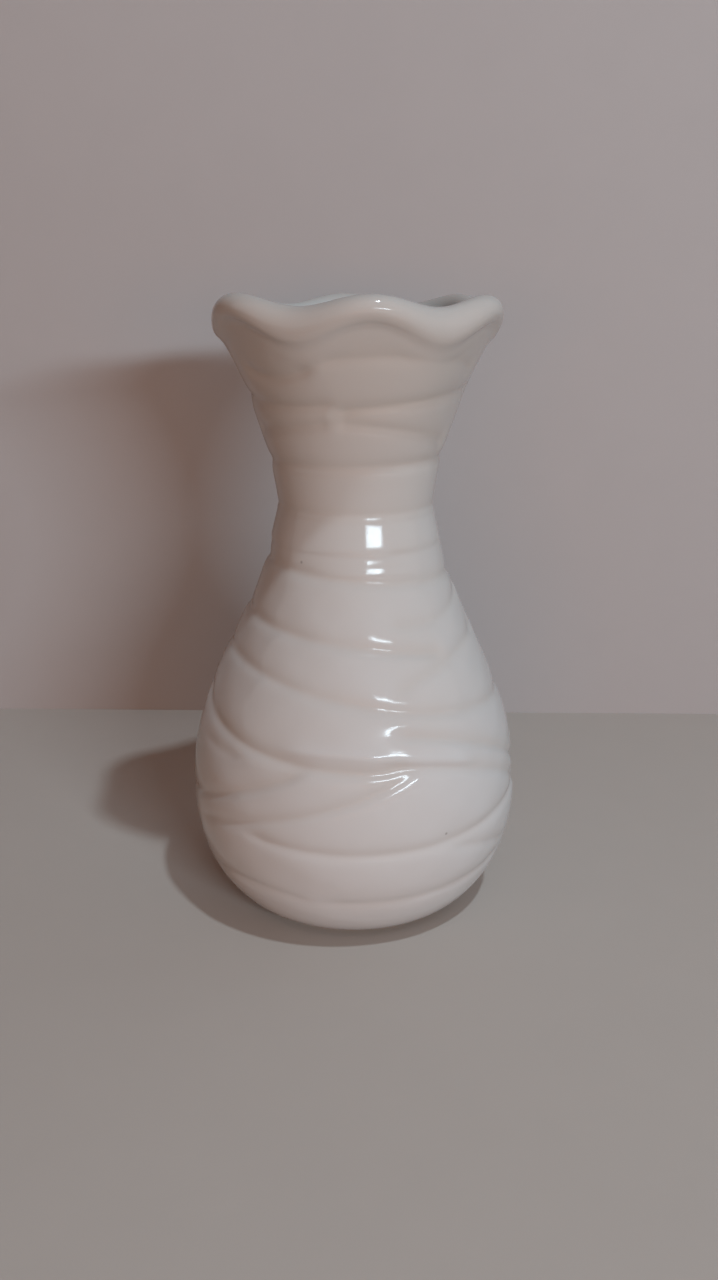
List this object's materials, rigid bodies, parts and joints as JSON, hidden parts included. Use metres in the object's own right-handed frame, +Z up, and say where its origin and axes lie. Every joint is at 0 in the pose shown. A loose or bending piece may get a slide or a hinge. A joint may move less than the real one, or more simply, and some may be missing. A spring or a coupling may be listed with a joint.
{
  "type": "ceramic bud vase",
  "caption": "Small glazed ceramic bud vase with a round belly, a narrow neck, wrapped relief bands and a rolled, lobed lip.",
  "frame": {"origin": "middle of the foot's resting face, on the vase's axis", "axes": "+Z up along the vase's axis, out of the mouth; -Y towards the front, +X to the right as seen from the front"},
  "size_m": [0.077, 0.0768, 0.1399],
  "materials": {
    "fired_clay": "matte fired clay, bare on the foot ring",
    "ivory_glaze": "glossy ivory glaze, thicker in the folds",
    "liner_glaze": "glossy ivory liner glaze"
  },
  "bodies": {
    "root": {"clay_body": "fired_clay", "outer_glaze": "ivory_glaze", "inner_glaze": "liner_glaze", "base_glaze": "ivory_glaze"}
  },
  "joints": []
}
